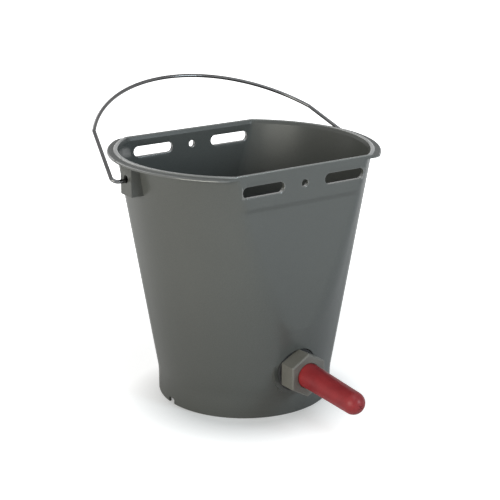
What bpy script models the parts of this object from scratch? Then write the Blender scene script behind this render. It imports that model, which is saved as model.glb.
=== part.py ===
# Calf feeding bucket with a swing bail and a screw-in teat valve.
# Metres, +Z up. The floor is z = 0, the teat points to -Y and the two flat sides face -Y and +Y.

import math

import bmesh
import bpy
from mathutils import Vector

# Bucket wall
BUCKET_H = 0.270
WALL_T = 0.0030
FOOT_R = 0.0942
FOOT_H = 0.0248
FOOT_EDGE_R = 0.0020
WALL_TOP_R = 0.1344
FLOOR_T = 0.0032
FLOOR_FILLET_R = 0.0060
FOOT_NOTCH_W = 0.0090
FOOT_NOTCH_H = 0.0045
OVERRUN = 0.0100

# Flat front and back sides, which run into the round wall in a wide soft corner
FLAT_START_Z = 0.09677
BAND_OUT = 0.0020
BAND_DEPTH = 0.0364
BAND_STEP_H = 0.0020
CORNER_R = 0.0280
CORNER_FROM = 45.0
CORNER_TO = 63.0
SIDE_STEPS = 12
CORNER_STEPS = 8
FLAT_STEPS = 5
CORE_STEPS = 96

# Rim: a raised crest all round and a low flange on the two round ends
CREST_OUT = 0.0004
CREST_IN = 0.0018
CREST_EDGE_H = 0.0018
FLANGE_W = 0.0093
FLANGE_TOP_DROP = 0.0017
FLANGE_BOTTOM_DROP = 0.0050
FLANGE_EDGE = 0.0008
FLANGE_CORNER_R = 0.0030
FLANGE_FILLET = 0.0024

# Fence slots and screw holes in the flats
SLOT_X = 0.0496
SLOT_L = 0.0492
SLOT_H = 0.0112
SLOT_DEPTH = 0.0176
SLOT_END_STEPS = 10
SCREW_HOLE_R = 0.0038
HOLE_STEPS = 24

# Bail ears at the round ends
EAR_INSET = 0.0011
EAR_W = 0.0215
EAR_T = 0.0026
EAR_DEPTH = 0.0330
EAR_TOP_DEPTH = 0.0014
PIVOT_DEPTH = 0.0174
PIVOT_HOLE_R = 0.0040

# Bail, its places measured sideways from the outer face of the ears
WIRE_R = 0.0021
BAIL_LEAN = math.radians(64.0)
BAIL_ARC_OUT = 0.0139
LEFT_KINK_IN = 0.0056
LEFT_KINK_H = 0.0831
RIGHT_KINK_IN = 0.0077
RIGHT_KINK_H = 0.0748
LEFT_BEND_OUT = 0.0151
RIGHT_BEND_OUT = 0.0104
BEND_R = 0.0060
KINK_R = 0.0100
HOOK_IN = 0.0071
ARC_STEPS = 36
BEND_STEPS = 6

# Valve seat in the front wall
VALVE_Z = 0.0500
SEAT_SET = 0.00203
SEAT_T = 0.0055
SEAT_R = 0.0280
SEAT_STEP = 0.0010
RECESS_R = 0.0270
SKIRT_T = 0.0022
VALVE_HOLE_R = 0.0152
SMALL_STEPS = 48

# Valve pieces, measured out from the seat's outer face
GAP = 0.0003
GASKET_T = 0.0019
OUTER_GASKET_R = 0.0245
INNER_GASKET_R = 0.0205
GASKET_BORE_R = 0.0156
NUT_AF = 0.0410
NUT_T = 0.0198
NUT_FRONT_T = 0.0035
NUT_CHAMFER = 0.0013
SPIGOT_R = 0.0144
NUT_BORE_R = 0.0150
COLLAR_R = 0.0210
COLLAR_T = 0.0026
HEAD_AF = 0.0300
HEAD_T = 0.0050
INLET_R = 0.0050
INLET_LAND_T = 0.0030
CHAMBER_R = 0.0105
CHAMBER_CONE_H = 0.0035
SPIGOT_EDGE = 0.0010
BALL_R = 0.0080
RETAINER_T = 0.0020
RETAINER_HOLE_R = 0.0024
RETAINER_HOLE_PCD_R = 0.0062
RETAINER_HOLES = 5
RETAINER_INSET = 0.0010

# Teat
TEAT_FLANGE_T = 0.0024
TEAT_FLANGE_R = 0.0145
TEAT_BASE_R = 0.0130
TEAT_TIP_R = 0.0118
TEAT_REACH = 0.0853
TEAT_WALL = 0.0032
TEAT_DROOP = math.radians(3.2)
TEAT_DROOP_RUN = 0.0140
TEAT_STEPS = 40
TEAT_SLIT_L = 0.0070
TEAT_SLIT_W = 0.0006

# Values that follow from the ones above
SLOPE = (WALL_TOP_R - FOOT_R) / (BUCKET_H - FOOT_H)
FLAT_Y = FOOT_R + SLOPE * (FLAT_START_Z - FOOT_H)
FLAT_INNER_Y = FLAT_Y - WALL_T
BAND_Y = FLAT_Y + BAND_OUT
BAND_BOTTOM_Z = BUCKET_H - BAND_DEPTH
FLANGE_R = WALL_TOP_R + FLANGE_W
SLOT_Z = BUCKET_H - SLOT_DEPTH
EAR_X = FLANGE_R - EAR_INSET
EAR_BOTTOM_Z = BUCKET_H - EAR_DEPTH
PIVOT_Z = BUCKET_H - PIVOT_DEPTH
BAIL_ARC_R = EAR_X + BAIL_ARC_OUT
LEFT_KINK = (LEFT_KINK_IN - EAR_X, LEFT_KINK_H)
RIGHT_KINK = (EAR_X - RIGHT_KINK_IN, RIGHT_KINK_H)
LEFT_BEND_X = -EAR_X - LEFT_BEND_OUT
RIGHT_BEND_X = EAR_X + RIGHT_BEND_OUT
HOOK_END_X = EAR_X - HOOK_IN
SEAT_Y = FOOT_R + SLOPE * (VALVE_Z - FOOT_H) - SEAT_SET
NUT_BACK = GAP + GASKET_T + GAP
NUT_FRONT = NUT_BACK + NUT_T
TEAT_FLANGE_OUT = NUT_FRONT - NUT_FRONT_T - GAP
TEAT_FLANGE_IN = TEAT_FLANGE_OUT - TEAT_FLANGE_T
SPIGOT_END = TEAT_FLANGE_IN - GAP
INNER_GASKET_OUT = -SEAT_T - GAP
INNER_GASKET_IN = INNER_GASKET_OUT - GASKET_T
COLLAR_OUT = INNER_GASKET_IN - GAP
COLLAR_IN = COLLAR_OUT - COLLAR_T
HEAD_IN = COLLAR_IN - HEAD_T
CHAMBER_IN = HEAD_IN + INLET_LAND_T
TEAT_TIP_Y = -(SEAT_Y + NUT_FRONT + TEAT_REACH)


def wall_r(z):
    """Outer radius of the tapered wall at height z."""
    return FOOT_R + SLOPE * (z - FOOT_H)


def column_angles():
    """Directions of the points of every level of the wall, closer together at the corners."""
    quarter = [CORNER_FROM * i / SIDE_STEPS for i in range(SIDE_STEPS)]
    corner = CORNER_TO - CORNER_FROM
    quarter += [CORNER_FROM + corner * i / CORNER_STEPS for i in range(CORNER_STEPS)]
    flat = 90.0 - CORNER_TO
    quarter += [CORNER_TO + flat * i / FLAT_STEPS for i in range(FLAT_STEPS)]
    half = quarter + [90.0] + [180.0 - a for a in reversed(quarter[1:])]
    return [math.radians(a) for a in half + [a + 180.0 for a in half]]


def level(r, z, flat_y=1.0, corner_r=0.0):
    """Points of a circle of radius r cut flat at +-flat_y, its corners rounded to corner_r."""
    points = []
    if r < 1e-9:
        return [(0.0, 0.0, z)]
    centre_y = flat_y - corner_r
    centre_x = math.sqrt(max((r - corner_r) ** 2 - centre_y ** 2, 0.0))
    for a in column_angles():
        up = abs(math.sin(a))
        side = abs(math.cos(a))
        if r > flat_y and side * flat_y <= up * centre_x:
            x = flat_y * math.cos(a) / up
            points.append((x, math.copysign(flat_y, math.sin(a)), z))
            continue
        reach = r
        if r > flat_y and up * centre_x > side * centre_y:
            along = centre_x * side + centre_y * up
            spare = along ** 2 - centre_x ** 2 - centre_y ** 2 + corner_r ** 2
            reach = along + math.sqrt(spare)
        points.append((reach * math.cos(a), reach * math.sin(a), z))
    return points


def arc(cx, cy, r, a0, a1, steps):
    """Points of an arc from angle a0 to a1 in degrees, ends included."""
    points = []
    for i in range(steps + 1):
        a = math.radians(a0 + (a1 - a0) * i / steps)
        points.append((cx + r * math.cos(a), cy + r * math.sin(a)))
    return points


def make_material(name, colour, roughness, metallic=0.0):
    mat = bpy.data.materials.new(name)
    mat.use_nodes = True
    shader = mat.node_tree.nodes["Principled BSDF"]
    shader.inputs["Base Color"].default_value = (*colour, 1.0)
    shader.inputs["Roughness"].default_value = roughness
    shader.inputs["Metallic"].default_value = metallic
    mat.diffuse_color = (*colour, 1.0)
    return mat


def add_object(name, bm, material=None, parent=None):
    bmesh.ops.recalc_face_normals(bm, faces=bm.faces)
    mesh = bpy.data.meshes.new(name)
    bm.to_mesh(mesh)
    bm.free()
    if material:
        mesh.materials.append(material)
        mesh.shade_smooth()
        mesh.set_sharp_from_angle(angle=math.radians(32.0))
    obj = bpy.data.objects.new(name, mesh)
    bpy.context.scene.collection.objects.link(obj)
    obj.parent = parent
    return obj


def skinned(levels, closed):
    """Body with faces between neighbouring levels; a level of one point closes an end."""
    bm = bmesh.new()
    rings = [[bm.verts.new(point) for point in points] for points in levels]
    count = max(len(ring) for ring in rings)
    pairs = list(zip(rings, rings[1:]))
    if closed:
        pairs.append((rings[-1], rings[0]))
    for lower, upper in pairs:
        for i in range(count):
            j = (i + 1) % count
            corners = [lower[i % len(lower)], lower[j % len(lower)]]
            corners += [upper[j % len(upper)], upper[i % len(upper)]]
            unique = list(dict.fromkeys(corners))
            if len(unique) > 2:
                bm.faces.new(unique)
    return bm


def turned(profile, steps):
    """Body turned about Z from (r, z) points; a profile clear of the axis makes a ring."""
    levels = []
    for r, z in profile:
        if r < 1e-9:
            levels.append([(0.0, 0.0, z)])
            continue
        angles = [2.0 * math.pi * i / steps for i in range(steps)]
        levels.append([(r * math.cos(a), r * math.sin(a), z) for a in angles])
    return skinned(levels, len(levels[0]) > 1)


def prism(outline, axis, low, high):
    """Outline extruded along X, Y or Z; its points hold the other two coordinates in order."""
    bm = bmesh.new()

    def place(u, v, w):
        coords = [u, v]
        coords.insert("XYZ".index(axis), w)
        return bm.verts.new(coords)

    near = [place(u, v, low) for u, v in outline]
    far = [place(u, v, high) for u, v in outline]
    bm.faces.new(near)
    bm.faces.new(list(reversed(far)))
    for i in range(len(outline)):
        j = (i + 1) % len(outline)
        bm.faces.new([near[j], near[i], far[i], far[j]])
    return bm


def cutter(name, bm, parent):
    tool = add_object(name, bm, None, parent)
    tool.hide_render = True
    tool.display_type = 'WIRE'
    return tool


def combine(obj, tool, operation):
    mod = obj.modifiers.new(tool.name, 'BOOLEAN')
    mod.operation = operation
    mod.solver = 'EXACT'
    mod.object = tool


def rectangle(u0, v0, u1, v1):
    return [(u0, v0), (u1, v0), (u1, v1), (u0, v1)]


for old in list(bpy.data.objects):
    bpy.data.objects.remove(old, do_unlink=True)

grey_plastic = make_material("bucket_plastic", (0.115, 0.122, 0.118), 0.42)
steel_wire = make_material("bail_wire", (0.62, 0.63, 0.64), 0.22, 1.0)
nut_plastic = make_material("nut_plastic", (0.155, 0.150, 0.135), 0.48)
valve_plastic = make_material("valve_plastic", (0.135, 0.132, 0.120), 0.45)
gasket_rubber = make_material("gasket_rubber", (0.018, 0.018, 0.019), 0.7)
inner_gasket_rubber = make_material("inner_gasket_rubber", (0.018, 0.018, 0.019), 0.7)
teat_rubber = make_material("teat_rubber", (0.330, 0.022, 0.028), 0.45)
ball_plastic = make_material("ball_plastic", (0.75, 0.74, 0.70), 0.35)
retainer_plastic = make_material("retainer_plastic", (0.135, 0.132, 0.120), 0.45)

# The bucket's axis is set back so that the whole object's box is centred on the origin
bail_crown_w = 0.5 * (LEFT_KINK[1] + RIGHT_KINK[1])
half_span = 0.5 * math.dist(LEFT_KINK, RIGHT_KINK)
bail_crown_w += BAIL_ARC_R - math.sqrt(BAIL_ARC_R ** 2 - half_span ** 2)
bail_back_y = bail_crown_w * math.sin(BAIL_LEAN) + WIRE_R
bucket_axis = bpy.data.objects.new("bucket_axis", None)
bucket_axis.location.y = -0.5 * (TEAT_TIP_Y + bail_back_y)
bpy.context.scene.collection.objects.link(bucket_axis)

# Bucket: one moulding, built up in levels from the hollow under the floor, up the outside,
# over the rim and down the inside
rim_z = BUCKET_H - CREST_EDGE_H
flange_z = BUCKET_H - FLANGE_BOTTOM_DROP
fillet_z = flange_z - FLANGE_FILLET
band_top_z = BAND_BOTTOM_Z + BAND_STEP_H
edge_in = FOOT_EDGE_R * (1.0 - math.sqrt(0.5))
levels = [level(0.0, FOOT_H - FLOOR_T), level(FOOT_R - WALL_T, FOOT_H - FLOOR_T)]
levels += [level(FOOT_R - WALL_T, 0.0), level(FOOT_R - FOOT_EDGE_R, 0.0)]
levels += [level(FOOT_R - edge_in, edge_in), level(FOOT_R, FOOT_EDGE_R), level(FOOT_R, FOOT_H)]
for part_way in (0.0, 0.05, 0.14, 0.28, 0.48, 0.72, 1.0):
    z = FLAT_START_Z + (BAND_BOTTOM_Z - FLAT_START_Z) * part_way
    levels.append(level(wall_r(z), z, FLAT_Y, CORNER_R))
levels.append(level(wall_r(band_top_z), band_top_z, BAND_Y, CORNER_R))
levels.append(level(wall_r(fillet_z), fillet_z, BAND_Y, CORNER_R))
r = wall_r(flange_z)
levels.append(level(r + 0.2 * FLANGE_FILLET, flange_z - 0.4 * FLANGE_FILLET, BAND_Y, 0.7 * CORNER_R))
levels.append(level(r + FLANGE_FILLET, flange_z - 0.1 * FLANGE_EDGE, BAND_Y, 0.3 * CORNER_R))
top_z = BUCKET_H - FLANGE_TOP_DROP
edge_low_z = flange_z + FLANGE_EDGE
edge_high_z = top_z - 1.5 * FLANGE_EDGE
for r, z in ((FLANGE_R - FLANGE_EDGE, flange_z), (FLANGE_R, edge_low_z), (FLANGE_R, edge_high_z),
             (FLANGE_R - FLANGE_EDGE, top_z - 0.5 * FLANGE_EDGE), (FLANGE_R - 0.0030, top_z - 0.0001)):
    levels.append(level(r, z, BAND_Y, FLANGE_CORNER_R))
levels.append(level(WALL_TOP_R + 0.0026, top_z + 0.0003, BAND_Y, 0.3 * CORNER_R))
levels.append(level(WALL_TOP_R + 0.0012, BUCKET_H - 0.0005, BAND_Y - 0.0003, 0.6 * CORNER_R))
crest_in = WALL_T - CREST_IN
inner_corner_r = CORNER_R - WALL_T
levels.append(level(WALL_TOP_R - CREST_OUT, BUCKET_H, BAND_Y - 0.0012, CORNER_R))
levels.append(level(WALL_TOP_R - CREST_IN, BUCKET_H, FLAT_INNER_Y + crest_in, inner_corner_r))
crest_side_z = BUCKET_H - 0.3 * CREST_EDGE_H
crest_side_r = WALL_TOP_R - WALL_T + 0.3 * crest_in
levels.append(level(crest_side_r, crest_side_z, FLAT_INNER_Y + 0.3 * crest_in, inner_corner_r))
levels.append(level(wall_r(rim_z) - WALL_T, rim_z, FLAT_INNER_Y, inner_corner_r))
for part_way in (0.7, 0.45, 0.26, 0.12, 0.04, 0.0):
    z = FLAT_START_Z + (rim_z - FLAT_START_Z) * part_way
    levels.append(level(wall_r(z) - WALL_T, z, FLAT_INNER_Y, inner_corner_r))
fillet_top_z = FOOT_H + FLOOR_FILLET_R
floor_r = wall_r(fillet_top_z) - WALL_T
for r, z in arc(floor_r - FLOOR_FILLET_R, fillet_top_z, FLOOR_FILLET_R, 0, -90, 4):
    levels.append(level(r, z))
levels.append(level(0.0, FOOT_H))
bm = skinned(levels, False)
bmesh.ops.connect_verts_nonplanar(bm, angle_limit=math.radians(0.01), faces=bm.faces)
bucket = add_object("bucket", bm, grey_plastic, bucket_axis)

# Space within the middle of the wall: ears end on it from outside, the seat's skirt from inside
mid_r = FOOT_R - 0.5 * WALL_T
core_top_z = BUCKET_H + OVERRUN
core_profile = [(0.0, 0.5 * FOOT_H), (mid_r, 0.5 * FOOT_H), (mid_r, FOOT_H)]
core_profile += [(wall_r(core_top_z) - 0.5 * WALL_T, core_top_z), (0.0, core_top_z)]
wall_core = cutter("wall_core", turned(core_profile, CORE_STEPS), bucket_axis)

# Ears: a plate with two side ribs, open below and closed on top by the flange
root_x = wall_r(EAR_BOTTOM_Z) - WALL_T
ear_top_z = flange_z + EAR_TOP_DEPTH
half_w = 0.5 * EAR_W
for sign, end in ((-1, "left"), (1, "right")):
    outline = [(root_x, -half_w), (EAR_X, -half_w), (EAR_X, half_w), (root_x, half_w)]
    outline += [(root_x, half_w - EAR_T), (EAR_X - EAR_T, half_w - EAR_T)]
    outline += [(EAR_X - EAR_T, EAR_T - half_w), (root_x, EAR_T - half_w)]
    outline = [(sign * x, y) for x, y in outline]
    ear = cutter("ear_" + end, prism(outline, 'Z', EAR_BOTTOM_Z, ear_top_z), bucket_axis)
    combine(ear, wall_core, 'DIFFERENCE')
    combine(bucket, ear, 'UNION')

# Valve pieces stand on an axis that points straight forward from the seat
valve_axis = bpy.data.objects.new("valve_axis", None)
valve_axis.parent = bucket_axis
valve_axis.location = (0.0, -SEAT_Y, VALVE_Z)
valve_axis.rotation_euler.x = math.radians(90.0)
bpy.context.scene.collection.objects.link(valve_axis)

# Two notches in the foot
notch_outline = rectangle(-0.5 * FOOT_NOTCH_W, -OVERRUN, 0.5 * FOOT_NOTCH_W, FOOT_NOTCH_H)
notches = cutter("foot_notches", prism(notch_outline, 'X', -FLANGE_R, FLANGE_R), bucket_axis)
combine(bucket, notches, 'DIFFERENCE')

# Two long slots and a screw hole through each flat
end_x = 0.5 * (SLOT_L - SLOT_H)
slot_outline = arc(end_x, 0.0, 0.5 * SLOT_H, -90, 90, SLOT_END_STEPS)
slot_outline += arc(-end_x, 0.0, 0.5 * SLOT_H, 90, 270, SLOT_END_STEPS)
for sign, end in ((-1, "left"), (1, "right")):
    slot = cutter("slot_" + end, prism(slot_outline, 'Y', -FLANGE_R, FLANGE_R), bucket_axis)
    slot.location = (sign * SLOT_X, 0.0, SLOT_Z)
    combine(bucket, slot, 'DIFFERENCE')
half_step = 180.0 / HOLE_STEPS
circle = arc(0.0, 0.0, SCREW_HOLE_R, half_step, 360.0 + half_step, HOLE_STEPS)[:-1]
screw_holes = cutter("screw_holes", prism(circle, 'Y', -FLANGE_R, FLANGE_R), bucket_axis)
screw_holes.location.z = SLOT_Z
combine(bucket, screw_holes, 'DIFFERENCE')

# Bail holes in the ear plates: the wire lies in the bottom of each
hole_z = PIVOT_Z - WIRE_R - GAP + PIVOT_HOLE_R
circle = arc(0.0, 0.0, PIVOT_HOLE_R, 0, 360, HOLE_STEPS)[:-1]
for sign, end in ((-1, "left"), (1, "right")):
    plate_hole = cutter("bail_hole_" + end, prism(circle, 'X', -EAR_T, EAR_T), bucket_axis)
    plate_hole.location = (sign * (EAR_X - 0.5 * EAR_T), 0.0, hole_z)
    combine(bucket, plate_hole, 'DIFFERENCE')


# Valve seat: an upright round pad with the valve hole, set into the sloping wall by a short skirt
skirt_r = RECESS_R + SKIRT_T
skirt_in = -SEAT_T + SEAT_STEP
skirt_profile = [(0.0, skirt_in), (skirt_r, skirt_in), (skirt_r, SEAT_R), (0.0, SEAT_R)]
skirt = cutter("seat_skirt", turned(skirt_profile, SMALL_STEPS), valve_axis)
combine(skirt, wall_core, 'INTERSECT')
combine(bucket, skirt, 'UNION')
recess_in = -0.5 * SEAT_T
recess_end = SEAT_R + OVERRUN
recess_profile = [(0.0, recess_in), (RECESS_R, recess_in), (RECESS_R, recess_end)]
recess_profile.append((0.0, recess_end))
recess = cutter("seat_recess", turned(recess_profile, SMALL_STEPS), valve_axis)
combine(bucket, recess, 'DIFFERENCE')
hole_r = VALVE_HOLE_R + SEAT_STEP
hole_end = SEAT_T + OVERRUN
hole_profile = [(0.0, -hole_end), (hole_r, -hole_end), (hole_r, hole_end), (0.0, hole_end)]
hole = cutter("valve_hole", turned(hole_profile, SMALL_STEPS), valve_axis)
combine(bucket, hole, 'DIFFERENCE')
pad_profile = [(VALVE_HOLE_R, -SEAT_T), (SEAT_R, -SEAT_T), (SEAT_R, 0.0), (VALVE_HOLE_R, 0.0)]
pad = cutter("seat_pad", turned(pad_profile, SMALL_STEPS), valve_axis)
combine(bucket, pad, 'UNION')


def rounded(path, radii, steps):
    """Replace each inner corner of a 2-D path by an arc of its radius."""
    points = [path[0]]
    for i in range(1, len(path) - 1):
        corner = Vector(path[i])
        to_prev = (Vector(path[i - 1]) - corner).normalized()
        to_next = (Vector(path[i + 1]) - corner).normalized()
        half = 0.5 * to_prev.angle(to_next)
        reach = radii[i - 1] / math.tan(half)
        start = corner + to_prev * reach
        centre = corner + (to_prev + to_next).normalized() * radii[i - 1] / math.sin(half)
        spoke = start - centre
        turn = math.pi - 2.0 * half
        if to_prev.x * to_next.y - to_prev.y * to_next.x > 0.0:
            turn = -turn
        for k in range(steps + 1):
            a = turn * k / steps
            x = spoke.x * math.cos(a) - spoke.y * math.sin(a)
            y = spoke.x * math.sin(a) + spoke.y * math.cos(a)
            points.append((centre.x + x, centre.y + y))
    points.append(path[-1])
    return points


# Bail: one wire with hooked ends, straight arms, a kink at each side and a round crown
left = Vector(LEFT_KINK)
right = Vector(RIGHT_KINK)
middle = 0.5 * (left + right)
normal = Vector((left.y - right.y, right.x - left.x)).normalized()
centre = middle - normal * math.sqrt(BAIL_ARC_R ** 2 - half_span ** 2)
angle_left = math.atan2(left.y - centre.y, left.x - centre.x)
angle_right = math.atan2(right.y - centre.y, right.x - centre.x)
crown = []
for i in range(1, ARC_STEPS):
    a = angle_left + (angle_right - angle_left) * i / ARC_STEPS
    crown.append((centre.x + BAIL_ARC_R * math.cos(a), centre.y + BAIL_ARC_R * math.sin(a)))
start_path = [(-HOOK_END_X, 0.0), (LEFT_BEND_X, 0.0), LEFT_KINK, crown[1]]
end_path = [crown[-2], RIGHT_KINK, (RIGHT_BEND_X, 0.0), (HOOK_END_X, 0.0)]
wire_path = rounded(start_path, [BEND_R, KINK_R], BEND_STEPS)
wire_path += crown[2:-2]
wire_path += rounded(end_path, [KINK_R, BEND_R], BEND_STEPS)
curve = bpy.data.curves.new("bail", 'CURVE')
curve.dimensions = '3D'
curve.bevel_depth = WIRE_R
curve.bevel_resolution = 3
curve.use_fill_caps = True
curve.materials.append(steel_wire)
spline = curve.splines.new('POLY')
spline.points.add(len(wire_path) - 1)
for point, (x, w) in zip(spline.points, wire_path):
    point.co = (x, 0.0, w, 1.0)
spline.use_smooth = True
bail = bpy.data.objects.new("bail", curve)
bail.parent = bucket_axis
bail.location.z = PIVOT_Z
bail.rotation_euler.x = -BAIL_LEAN
bpy.context.scene.collection.objects.link(bail)


def washer(name, r_in, r_out, low, high, material):
    outline = [(r_in, low), (r_out, low), (r_out, high), (r_in, high)]
    return add_object(name, turned(outline, SMALL_STEPS), material, valve_axis)


# Rubber gaskets on both faces of the seat
washer("outer_gasket", GASKET_BORE_R, OUTER_GASKET_R, GAP, GAP + GASKET_T, gasket_rubber)
washer("inner_gasket", GASKET_BORE_R, INNER_GASKET_R, INNER_GASKET_IN, INNER_GASKET_OUT,
       inner_gasket_rubber)


def hexagon(across_flats):
    """Corners of a hexagon with one corner straight up."""
    r = across_flats / math.sqrt(3.0)
    return arc(0.0, 0.0, r, 90, 450, 6)[:-1]


# Hex nut: holds the teat's flange against the end of the valve body
bm = prism(hexagon(NUT_AF), 'Z', NUT_BACK, NUT_FRONT)
front_edges = [e for e in bm.edges if all(v.co.z > NUT_FRONT - 1e-6 for v in e.verts)]
bmesh.ops.bevel(bm, geom=front_edges, offset=NUT_CHAMFER, segments=1, affect='EDGES')
hex_nut = add_object("hex_nut", bm, nut_plastic, valve_axis)
mouth_r = TEAT_BASE_R + GAP
neck_z = NUT_FRONT - NUT_FRONT_T
bore = [(0.0, -OVERRUN), (NUT_BORE_R, -OVERRUN), (NUT_BORE_R, neck_z), (mouth_r, neck_z)]
bore += [(mouth_r, NUT_FRONT + OVERRUN), (0.0, NUT_FRONT + OVERRUN)]
nut_bore = cutter("nut_bore", turned(bore, SMALL_STEPS), valve_axis)
combine(hex_nut, nut_bore, 'DIFFERENCE')

# Valve body: threaded spigot through the wall, collar and hex head inside the bucket
outline = [(0.0, COLLAR_IN), (COLLAR_R, COLLAR_IN), (COLLAR_R, COLLAR_OUT)]
outline.append((SPIGOT_R, COLLAR_OUT))
outline += [(SPIGOT_R, SPIGOT_END - SPIGOT_EDGE), (SPIGOT_R - SPIGOT_EDGE, SPIGOT_END)]
outline.append((0.0, SPIGOT_END))
valve_body = add_object("valve_body", turned(outline, SMALL_STEPS), valve_plastic, valve_axis)
head = cutter("valve_head", prism(hexagon(HEAD_AF), 'Z', HEAD_IN, COLLAR_IN + 0.0005), valve_axis)
combine(valve_body, head, 'UNION')
bore_in = HEAD_IN - OVERRUN
bore_out = SPIGOT_END + OVERRUN
bore = [(0.0, bore_in), (INLET_R, bore_in), (INLET_R, CHAMBER_IN)]
bore += [(CHAMBER_R, CHAMBER_IN + CHAMBER_CONE_H), (CHAMBER_R, bore_out), (0.0, bore_out)]
valve_bore = cutter("valve_bore", turned(bore, SMALL_STEPS), valve_axis)
combine(valve_body, valve_bore, 'DIFFERENCE')

# Ball: rests on the cone of the inlet and moves out along the axis
cone_run = CHAMBER_R - INLET_R
cone_len = math.hypot(cone_run, CHAMBER_CONE_H)
ball_z = CHAMBER_IN - INLET_R * CHAMBER_CONE_H / cone_run
ball_z += (BALL_R + GAP) * cone_len / cone_run
bm = bmesh.new()
bmesh.ops.create_uvsphere(bm, u_segments=24, v_segments=14, radius=BALL_R)
valve_ball = add_object("valve_ball", bm, ball_plastic, valve_axis)
valve_ball.location.z = ball_z

# Retainer: a perforated disc clipped into the outer end of the chamber
retainer_out = SPIGOT_END - RETAINER_INSET
disc_r = CHAMBER_R - GAP
disc = [(0.0, retainer_out - RETAINER_T), (disc_r, retainer_out - RETAINER_T)]
disc += [(disc_r, retainer_out), (0.0, retainer_out)]
retainer = add_object("ball_retainer", turned(disc, SMALL_STEPS), retainer_plastic, valve_axis)
circle = arc(0.0, 0.0, RETAINER_HOLE_R, 0, 360, 16)[:-1]
for i in range(RETAINER_HOLES):
    a = 2.0 * math.pi * i / RETAINER_HOLES + 0.5 * math.pi
    spot = (RETAINER_HOLE_PCD_R * math.cos(a), RETAINER_HOLE_PCD_R * math.sin(a))
    shifted = [(u + spot[0], v + spot[1]) for u, v in circle]
    port = cutter("port_" + str(i + 1), prism(shifted, 'Z', 0.0, NUT_FRONT), valve_axis)
    combine(retainer, port, 'DIFFERENCE')


def teat_point(s, r, a):
    """Point at run s along the drooping axis, at radius r and angle a round it."""
    t = s - NUT_FRONT
    run = TEAT_DROOP_RUN
    if t <= 0.0:
        drop, lean, out = 0.0, 0.0, s
    elif t < run:
        lean = TEAT_DROOP * t / run
        drop = 0.5 * TEAT_DROOP * t * t / run
        out = s
    else:
        lean = TEAT_DROOP
        drop = 0.5 * TEAT_DROOP * run + math.sin(TEAT_DROOP) * (t - run)
        out = NUT_FRONT + run + math.cos(TEAT_DROOP) * (t - run)
    x = r * math.cos(a)
    y = r * math.sin(a) * math.cos(lean) - drop
    z = out + r * math.sin(a) * math.sin(lean)
    return (x, y, z)


# Teat: hollow rubber with a flange held in the nut, a domed end and a cross slit
tip_s = NUT_FRONT + TEAT_REACH
stations = [(TEAT_FLANGE_IN, TEAT_FLANGE_R), (TEAT_FLANGE_OUT, TEAT_FLANGE_R)]
stations += [(TEAT_FLANGE_OUT, TEAT_BASE_R), (NUT_FRONT, TEAT_BASE_R)]
straight_end = tip_s - TEAT_TIP_R
for i in range(1, 9):
    k = i / 8
    s = NUT_FRONT + (straight_end - NUT_FRONT) * k
    stations.append((s, TEAT_BASE_R + (TEAT_TIP_R - TEAT_BASE_R) * k))
for r, s in arc(0.0, straight_end, TEAT_TIP_R, 0, 90, 7)[1:-1]:
    stations.append((s, r))
stations.append((tip_s, 0.0))
inner_tip_r = TEAT_TIP_R - TEAT_WALL
stations.append((straight_end + inner_tip_r, 0.0))
for r, s in arc(0.0, straight_end, inner_tip_r, 90, 0, 6)[1:]:
    stations.append((s, r))
stations.append((NUT_FRONT, TEAT_BASE_R - TEAT_WALL))
stations.append((TEAT_FLANGE_IN, TEAT_BASE_R - TEAT_WALL))
levels = []
for s, r in stations:
    turns = [2.0 * math.pi * i / TEAT_STEPS for i in range(TEAT_STEPS)]
    levels.append([teat_point(s, r, a) for a in turns] if r > 0.0 else [teat_point(s, 0.0, 0.0)])
bm = skinned(levels, True)
teat = add_object("teat", bm, teat_rubber, valve_axis)
slit_s = tip_s - 0.5 * TEAT_WALL
half_l = 0.5 * TEAT_SLIT_L
half_t = 0.5 * TEAT_SLIT_W
for turn, end in ((45.0, "a"), (135.0, "b")):
    outline = rectangle(-half_l, -half_t, half_l, half_t)
    slit = cutter("teat_slit_" + end, prism(outline, 'Z', -TEAT_WALL, TEAT_WALL), valve_axis)
    slit.location = teat_point(slit_s, 0.0, 0.0)
    slit.rotation_euler = (TEAT_DROOP, 0.0, math.radians(turn))
    combine(teat, slit, 'DIFFERENCE')
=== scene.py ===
import math

import bmesh
import bpy
from mathutils import Matrix, Vector


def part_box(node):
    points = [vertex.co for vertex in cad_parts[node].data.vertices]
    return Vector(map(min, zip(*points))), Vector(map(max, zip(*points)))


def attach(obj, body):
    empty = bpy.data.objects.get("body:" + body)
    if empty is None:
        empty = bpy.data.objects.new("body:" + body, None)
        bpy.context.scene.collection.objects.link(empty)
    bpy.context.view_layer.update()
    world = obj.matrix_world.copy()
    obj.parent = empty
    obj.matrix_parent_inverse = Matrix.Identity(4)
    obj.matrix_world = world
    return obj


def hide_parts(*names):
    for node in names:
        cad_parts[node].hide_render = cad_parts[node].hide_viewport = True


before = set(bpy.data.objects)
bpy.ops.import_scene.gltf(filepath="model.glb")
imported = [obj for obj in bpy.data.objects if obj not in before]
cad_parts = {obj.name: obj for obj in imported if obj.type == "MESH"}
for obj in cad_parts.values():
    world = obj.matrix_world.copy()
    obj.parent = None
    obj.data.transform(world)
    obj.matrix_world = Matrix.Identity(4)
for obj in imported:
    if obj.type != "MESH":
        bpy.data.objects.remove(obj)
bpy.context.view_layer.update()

# Bucket: one injection moulding in dark grey polypropylene, round at the foot and
# drawn flat at the front and back towards the rim, with a rolled crest, a narrow
# flange on the two round ends, fence slots, two bail ears and a valve seat.
BUCKET_TOP = 0.270
WALL = 0.0030
FOOT_RADIUS = 0.0942
FOOT_HEIGHT = 0.0248
RIM_RADIUS = 0.1344
FLOOR_THICKNESS = 0.0032
FLAT_START = 0.09677
BAND_STEP = 0.0020
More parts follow.
